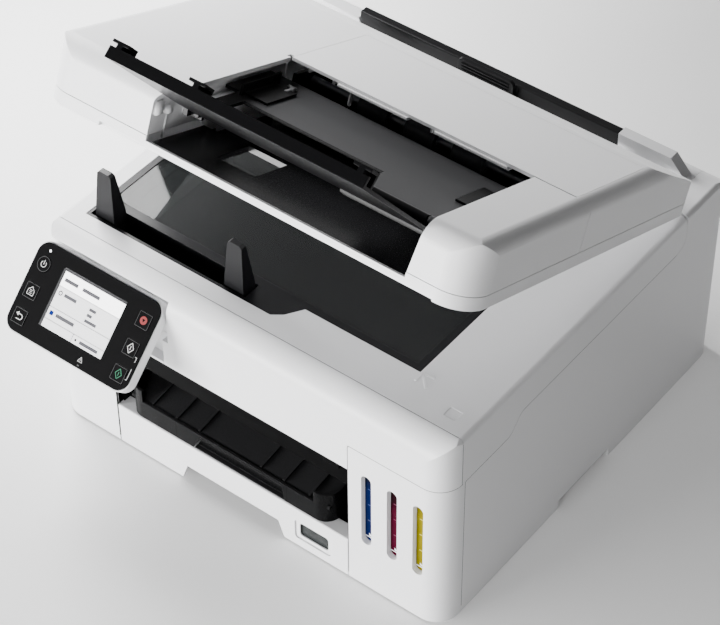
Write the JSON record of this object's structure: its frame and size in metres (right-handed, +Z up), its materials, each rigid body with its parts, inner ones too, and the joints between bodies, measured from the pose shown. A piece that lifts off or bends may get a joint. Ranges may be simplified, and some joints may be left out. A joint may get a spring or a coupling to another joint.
{
  "type": "inkjet printer",
  "caption": "Office inkjet printer with ink tanks, tilting touch panel, paper cassette and a flatbed scanner under a raised lid with a sheet feeder.",
  "frame": {"origin": "centre of the bounding box at the underside of the feet", "axes": "+Z up, -Y towards the front with the control panel, +X to the right seen from the front"},
  "size_m": [0.374, 0.414, 0.4363],
  "materials": {
    "white_plastic": "fine matt texture",
    "grey_plastic": "fine matt texture",
    "dark_plastic": "satin",
    "black_plastic": "satin gloss",
    "rubber": "matt",
    "steel": "plain",
    "circuit_board": "lacquered",
    "scanner_glass": "clear",
    "display": "gloss",
    "blue_tank": "ink behind clear plastic",
    "magenta_tank": "ink behind clear plastic",
    "yellow_tank": "ink behind clear plastic",
    "black_tank": "ink behind clear plastic"
  },
  "bodies": {
    "base": {"base_frame": "dark_plastic", "feet": "rubber", "left_side_cover": "white_plastic", "right_side_cover": "white_plastic", "rear_cover": "white_plastic", "tank_cover": "white_plastic", "slot_bezel": "black_plastic", "ink_tank_black": "black_tank", "ink_tank_cyan": "blue_tank", "ink_tank_magenta": "magenta_tank", "ink_tank_yellow": "yellow_tank", "tank_caps": "dark_plastic", "ink_tubes": "dark_plastic", "power_supply": "dark_plastic", "mains_inlet": "dark_plastic", "main_board": "circuit_board", "maintenance_cartridge": "dark_plastic", "carriage_rail": "steel", "print_platen": "dark_plastic", "drive_motors": "steel", "carriage_belt": "rubber", "rear_feed_throat": "grey_plastic", "cover_screws": "steel"},
    "print_carriage": {"print_carriage": "dark_plastic"},
    "feed_roller": {"feed_roller": "rubber"},
    "exit_roller": {"exit_roller": "rubber"},
    "pick_roller": {"pick_roller": "rubber"},
    "cassette": {"cassette_tray": "dark_plastic", "cassette_front": "white_plastic", "cassette_window": "black_plastic"},
    "cassette_guide": {"cassette_guide": "dark_plastic"},
    "output_tray": {"output_tray": "dark_plastic"},
    "output_extension": {"output_extension": "black_plastic"},
    "rear_paper_support": {"rear_paper_support": "dark_plastic"},
    "scanner_unit": {"top_deck": "white_plastic", "front_fascia": "white_plastic", "scanner_pan": "dark_plastic", "platen_frame": "black_plastic", "platen_glass": "scanner_glass"},
    "scan_carriage": {"scan_carriage": "dark_plastic"},
    "stopper_finger_left": {"stopper_finger_left": "dark_plastic"},
    "stopper_finger_right": {"stopper_finger_right": "dark_plastic"},
    "control_panel": {"panel_back": "white_plastic", "panel_face": "black_plastic", "panel_display": "display"},
    "lid": {"lid_base": "white_plastic", "lid_shell": "white_plastic", "output_floor": "black_plastic", "feeder_tray": "dark_plastic"},
    "feeder_flap": {"feeder_flap": "dark_plastic"},
    "document_guide_left": {"document_guide_left": "dark_plastic"},
    "document_guide_right": {"document_guide_right": "dark_plastic"},
    "feeder_roller": {"feeder_roller": "rubber"},
    "feeder_cover": {"feeder_cover": "white_plastic"},
    "power_button": {"power_button": "black_plastic"},
    "home_button": {"home_button": "black_plastic"},
    "back_button": {"back_button": "black_plastic"},
    "stop_button": {"stop_button": "black_plastic"},
    "black_start_button": {"black_start_button": "black_plastic"},
    "color_start_button": {"color_start_button": "black_plastic"}
  },
  "joints": [
    {"name": "scanner_lift", "type": "hinge", "parent": "base", "child": "scanner_unit", "pos_m": [0, 0.16002, 0.182], "axis": [-1, 0, 0], "range_deg": [0, 15]},
    {"name": "lid_hinge", "type": "hinge", "parent": "scanner_unit", "child": "lid", "pos_m": [0, 0.15552, 0.197], "axis": [-1, 0, 0], "range_deg": [-21.8, 28]},
    {"name": "feeder_flap_hinge", "type": "hinge", "parent": "lid", "child": "feeder_flap", "pos_m": [0.035, -0.11031, 0.34156], "axis": [1, 0, 0], "range_deg": [-150, 0]},
    {"name": "feeder_cover_hinge", "type": "hinge", "parent": "lid", "child": "feeder_cover", "pos_m": [-0.0725, 0.04679, 0.28734], "axis": [0, -0.9285, 0.3714], "range_deg": [0, 80]},
    {"name": "document_guide_left_slide", "type": "slide", "parent": "lid", "child": "document_guide_left", "axis": [1, 0, 0], "range_m": [0, 0.034]},
    {"name": "document_guide_right_slide", "type": "slide", "parent": "lid", "child": "document_guide_right", "axis": [-1, 0, 0], "range_m": [0, 0.034]},
    {"name": "feeder_roller_spin", "type": "hinge", "parent": "lid", "child": "feeder_roller", "pos_m": [0.035, 0.01894, 0.27694], "axis": [1, 0, 0], "continuous": true},
    {"name": "stopper_left_fold", "type": "hinge", "parent": "scanner_unit", "child": "stopper_finger_left", "pos_m": [-0.157, -0.11348, 0.175], "axis": [0, 1, 0], "range_deg": [0, 90]},
    {"name": "stopper_right_fold", "type": "hinge", "parent": "scanner_unit", "child": "stopper_finger_right", "pos_m": [-0.033, -0.11348, 0.175], "axis": [0, -1, 0], "range_deg": [0, 90]},
    {"name": "scan_carriage_slide", "type": "slide", "parent": "scanner_unit", "child": "scan_carriage", "axis": [1, 0, 0], "range_m": [0, 0.25]},
    {"name": "control_panel_tilt", "type": "hinge", "parent": "scanner_unit", "child": "control_panel", "pos_m": [-0.1265, -0.15497, 0.15984], "axis": [-1, 0, 0], "range_deg": [-37, 14]},
    {"name": "power_press", "type": "slide", "parent": "control_panel", "child": "power_button", "axis": [0, 0.7022, -0.712], "range_m": [0, 0.0008], "stiffness_N_per_m": 500},
    {"name": "home_press", "type": "slide", "parent": "control_panel", "child": "home_button", "axis": [0, 0.7022, -0.712], "range_m": [0, 0.0008], "stiffness_N_per_m": 500},
    {"name": "back_press", "type": "slide", "parent": "control_panel", "child": "back_button", "axis": [0, 0.7022, -0.712], "range_m": [0, 0.0008], "stiffness_N_per_m": 500},
    {"name": "stop_press", "type": "slide", "parent": "control_panel", "child": "stop_button", "axis": [0, 0.7022, -0.712], "range_m": [0, 0.0008], "stiffness_N_per_m": 500},
    {"name": "black_start_press", "type": "slide", "parent": "control_panel", "child": "black_start_button", "axis": [0, 0.7022, -0.712], "range_m": [0, 0.0008], "stiffness_N_per_m": 500},
    {"name": "color_start_press", "type": "slide", "parent": "control_panel", "child": "color_start_button", "axis": [0, 0.7022, -0.712], "range_m": [0, 0.0008], "stiffness_N_per_m": 500},
    {"name": "cassette_slide", "type": "slide", "parent": "base", "child": "cassette", "axis": [0, -1, 0], "range_m": [0, 0.24]},
    {"name": "cassette_guide_slide", "type": "slide", "parent": "cassette", "child": "cassette_guide", "axis": [0, -1, 0], "range_m": [0, 0.08]},
    {"name": "output_tray_slide", "type": "slide", "parent": "base", "child": "output_tray", "axis": [0, -1, 0], "range_m": [0, 0.1]},
    {"name": "output_extension_slide", "type": "slide", "parent": "output_tray", "child": "output_extension", "axis": [0, -1, 0], "range_m": [0, 0.08]},
    {"name": "print_carriage_slide", "type": "slide", "parent": "base", "child": "print_carriage", "axis": [1, 0, 0], "range_m": [-0.078, 0.078]},
    {"name": "feed_roller_spin", "type": "hinge", "parent": "base", "child": "feed_roller", "pos_m": [0, 0.06802, 0.084], "axis": [1, 0, 0], "continuous": true},
    {"name": "exit_roller_spin", "type": "hinge", "parent": "base", "child": "exit_roller", "pos_m": [0, -0.02598, 0.085], "axis": [1, 0, 0], "continuous": true},
    {"name": "pick_roller_spin", "type": "hinge", "parent": "base", "child": "pick_roller", "pos_m": [0, 0.13802, 0.0476], "axis": [1, 0, 0], "continuous": true},
    {"name": "rear_support_slide", "type": "slide", "parent": "base", "child": "rear_paper_support", "axis": [0, 0, 1], "range_m": [0, 0.05]}
  ],
  "couplings": [
    {"joint": "document_guide_right_slide", "follows": "document_guide_left_slide", "ratio": 1},
    {"joint": "exit_roller_spin", "follows": "feed_roller_spin", "ratio": 1},
    {"joint": "pick_roller_spin", "follows": "feed_roller_spin", "ratio": 1}
  ]
}
